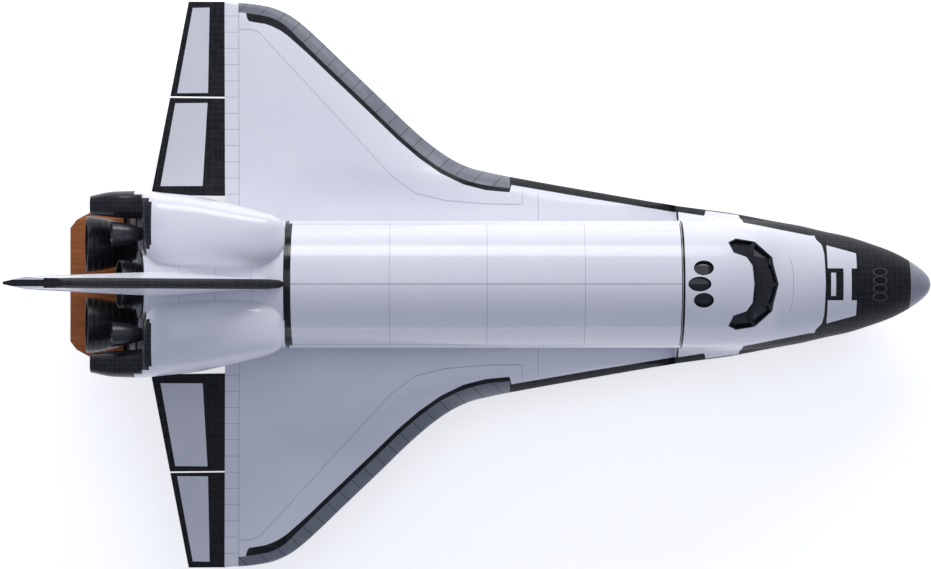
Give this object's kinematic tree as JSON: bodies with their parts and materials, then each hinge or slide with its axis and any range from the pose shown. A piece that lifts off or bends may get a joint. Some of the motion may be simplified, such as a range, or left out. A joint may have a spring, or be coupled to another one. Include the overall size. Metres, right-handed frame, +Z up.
{
  "type": "space shuttle orbiter",
  "caption": "Winged spaceplane with delta wings, clamshell cargo doors over a hollow bay, split rudder, gimballed rocket bells, body flap and wheeled landing gear.",
  "frame": {"origin": "centre of the bounding box in X and Y, on the floor under the tyres", "axes": "+X towards the nose, +Y towards the port (left) wing, +Z up; the vehicle stands 3.5 degrees nose down on its landing gear"},
  "size_m": [36.3574, 23.8346, 17.1292],
  "materials": {
    "bay_grey": "matt painted",
    "white_tile": "glossy white tile and blanket",
    "window_glass": "dark clear glass",
    "flap_orange": "satin orange-brown tile",
    "black_tile": "satin black tile",
    "cabin_grey": "matt painted",
    "bell_metal": "dark heat-stained metal",
    "tyre_black": "matt rubber",
    "wheel_metal": "satin",
    "gear_metal": "satin grey paint",
    "nose_carbon": "satin grey carbon cap",
    "nozzle_metal": "dark heat-stained metal",
    "radiator_silver": "polished",
    "shaft_steel": "satin",
    "reinforced_carbon": "satin grey carbon panel"
  },
  "bodies": {
    "airframe": {"aft_bay_bulkhead": "bay_grey", "aft_fuselage": "white_tile", "bay_window_panes": "window_glass", "cabin_rear_bulkhead": "bay_grey", "flight_deck": "cabin_grey", "lower_forward_fuselage": "black_tile", "main_gear_door_left": "black_tile", "main_gear_door_right": "black_tile", "main_gear_strut_left": "gear_metal", "main_gear_strut_right": "gear_metal", "manoeuvring_pod_left": "white_tile", "manoeuvring_pod_right": "white_tile", "mid_fuselage": "bay_grey", "nose_cap": "nose_carbon", "nose_gear_door_left": "black_tile", "nose_gear_door_right": "black_tile", "nose_gear_strut": "gear_metal", "nose_thruster_module": "white_tile", "roof_window_panes": "window_glass", "upper_forward_fuselage": "white_tile", "vertical_fin": "white_tile", "windshield_panes": "window_glass", "wing_leading_edge_left": "reinforced_carbon", "wing_leading_edge_right": "reinforced_carbon", "wing_left": "white_tile", "wing_right": "white_tile"},
    "payload_door_left": {"payload_bay_door_left": "white_tile", "radiator_left": "radiator_silver"},
    "payload_door_right": {"payload_bay_door_right": "white_tile", "radiator_right": "radiator_silver"},
    "elevon_inboard_left": {"elevon_inboard_left": "black_tile"},
    "elevon_inboard_right": {"elevon_inboard_right": "black_tile"},
    "elevon_outboard_left": {"elevon_outboard_left": "black_tile"},
    "elevon_outboard_right": {"elevon_outboard_right": "black_tile"},
    "body_flap": {"body_flap": "flap_orange"},
    "rudder_drive": {"rudder_drive_shaft": "shaft_steel"},
    "speedbrake_left": {"speedbrake_left": "white_tile"},
    "speedbrake_right": {"speedbrake_right": "white_tile"},
    "nose_steering": {"nose_gear_fork": "gear_metal"},
    "nose_wheels": {"nose_gear_wheels": "wheel_metal", "nose_gear_tyre_left": "tyre_black", "nose_gear_tyre_right": "tyre_black"},
    "main_wheels_left": {"main_gear_left_wheels": "wheel_metal", "main_gear_left_tyre_left": "tyre_black", "main_gear_left_tyre_right": "tyre_black"},
    "main_wheels_right": {"main_gear_right_wheels": "wheel_metal", "main_gear_right_tyre_left": "tyre_black", "main_gear_right_tyre_right": "tyre_black"},
    "side_hatch": {"side_hatch": "white_tile"},
    "umbilical_door_left": {"umbilical_door_left": "black_tile"},
    "umbilical_door_right": {"umbilical_door_right": "black_tile"},
    "engine_upper": {"main_engine_upper": "bell_metal"},
    "engine_left": {"main_engine_left": "bell_metal"},
    "engine_right": {"main_engine_right": "bell_metal"},
    "pod_nozzle_left": {"pod_nozzle_left": "nozzle_metal"},
    "pod_nozzle_right": {"pod_nozzle_right": "nozzle_metal"}
  },
  "joints": [
    {"name": "payload_door_left", "type": "hinge", "parent": "airframe", "child": "payload_door_left", "pos_m": [-0.3593, 2.53932, 6.25615], "axis": [-0.9981, 0, 0.061], "range_deg": [0, 175.5]},
    {"name": "payload_door_right", "type": "hinge", "parent": "airframe", "child": "payload_door_right", "pos_m": [-0.3593, -2.53932, 6.25615], "axis": [0.9981, 0, -0.061], "range_deg": [0, 175.5]},
    {"name": "elevon_inboard_left", "type": "hinge", "parent": "airframe", "child": "elevon_inboard_left", "pos_m": [-11.5757, 5.8, 3.87182], "axis": [-0.0133, -0.9982, -0.0579], "range_deg": [-35, 20]},
    {"name": "elevon_inboard_right", "type": "hinge", "parent": "airframe", "child": "elevon_inboard_right", "pos_m": [-11.5757, -5.8, 3.87182], "axis": [0.0133, -0.9982, 0.0579], "range_deg": [-35, 20]},
    {"name": "elevon_outboard_left", "type": "hinge", "parent": "airframe", "child": "elevon_outboard_left", "pos_m": [-11.52093, 9.9, 4.1098], "axis": [-0.0133, -0.9982, -0.0579], "range_deg": [-35, 20]},
    {"name": "elevon_outboard_right", "type": "hinge", "parent": "airframe", "child": "elevon_outboard_right", "pos_m": [-11.52093, -9.9, 4.1098], "axis": [0.0133, -0.9982, 0.0579], "range_deg": [-35, 20]},
    {"name": "body_flap", "type": "hinge", "parent": "airframe", "child": "body_flap", "pos_m": [-15.82743, 0, 3.81082], "axis": [0, -1, 0], "range_deg": [-11.7, 22.5]},
    {"name": "rudder", "type": "hinge", "parent": "airframe", "child": "rudder_drive", "pos_m": [-13.97523, 0, 11.16146], "axis": [-0.4913, 0, 0.871], "range_deg": [-27.1, 27.1]},
    {"name": "speedbrake_left", "type": "hinge", "parent": "rudder_drive", "child": "speedbrake_left", "pos_m": [-13.97523, 0, 11.16146], "axis": [0.4913, 0, -0.871], "range_deg": [0, 49.3]},
    {"name": "speedbrake_right", "type": "hinge", "parent": "rudder_drive", "child": "speedbrake_right", "pos_m": [-13.97523, 0, 11.16146], "axis": [-0.4913, 0, 0.871], "range_deg": [0, 49.3]},
    {"name": "nose_steering", "type": "hinge", "parent": "airframe", "child": "nose_steering", "pos_m": [13.61933, 0, 0.401], "axis": [0.061, 0, 0.9981], "range_deg": [-10, 10]},
    {"name": "nose_wheels_roll", "type": "hinge", "parent": "nose_steering", "child": "nose_wheels", "pos_m": [13.61933, 0, 0.401], "axis": [0, 1, 0], "continuous": true},
    {"name": "main_wheels_left_roll", "type": "hinge", "parent": "airframe", "child": "main_wheels_left", "pos_m": [-5.80732, 3.455, 0.55804], "axis": [0, 1, 0], "continuous": true},
    {"name": "main_wheels_right_roll", "type": "hinge", "parent": "airframe", "child": "main_wheels_right", "pos_m": [-5.80732, -3.455, 0.55804], "axis": [0, 1, 0], "continuous": true},
    {"name": "side_hatch", "type": "hinge", "parent": "airframe", "child": "side_hatch", "pos_m": [9.50993, 3.07909, 3.64871], "axis": [-0.9981, 0, 0.061], "range_deg": [0, 90]},
    {"name": "umbilical_door_left", "type": "hinge", "parent": "airframe", "child": "umbilical_door_left", "pos_m": [-10.08274, 1.246, 3.13887], "axis": [-0.9981, 0, 0.061], "range_deg": [0, 180]},
    {"name": "umbilical_door_right", "type": "hinge", "parent": "airframe", "child": "umbilical_door_right", "pos_m": [-10.08274, -1.246, 3.13887], "axis": [0.9981, 0, -0.061], "range_deg": [0, 180]},
    {"name": "engine_upper_pitch", "type": "hinge", "parent": "airframe", "child": "engine_upper", "pos_m": [-12.32602, 0, 7.00302], "axis": [0, 1, 0], "range_deg": [-10.5, 10.5]},
    {"name": "engine_left_pitch", "type": "hinge", "parent": "airframe", "child": "engine_left", "pos_m": [-13.03357, 1.68, 5.26297], "axis": [0, 1, 0], "range_deg": [-10.5, 10.5]},
    {"name": "engine_right_pitch", "type": "hinge", "parent": "airframe", "child": "engine_right", "pos_m": [-13.03357, -1.68, 5.26297], "axis": [0, 1, 0], "range_deg": [-10.5, 10.5]},
    {"name": "pod_nozzle_left_pitch", "type": "hinge", "parent": "airframe", "child": "pod_nozzle_left", "pos_m": [-13.83897, 2.05, 8.14752], "axis": [0, 1, 0], "range_deg": [-6, 6]},
    {"name": "pod_nozzle_right_pitch", "type": "hinge", "parent": "airframe", "child": "pod_nozzle_right", "pos_m": [-13.83897, -2.05, 8.14752], "axis": [0, 1, 0], "range_deg": [-6, 6]}
  ]
}
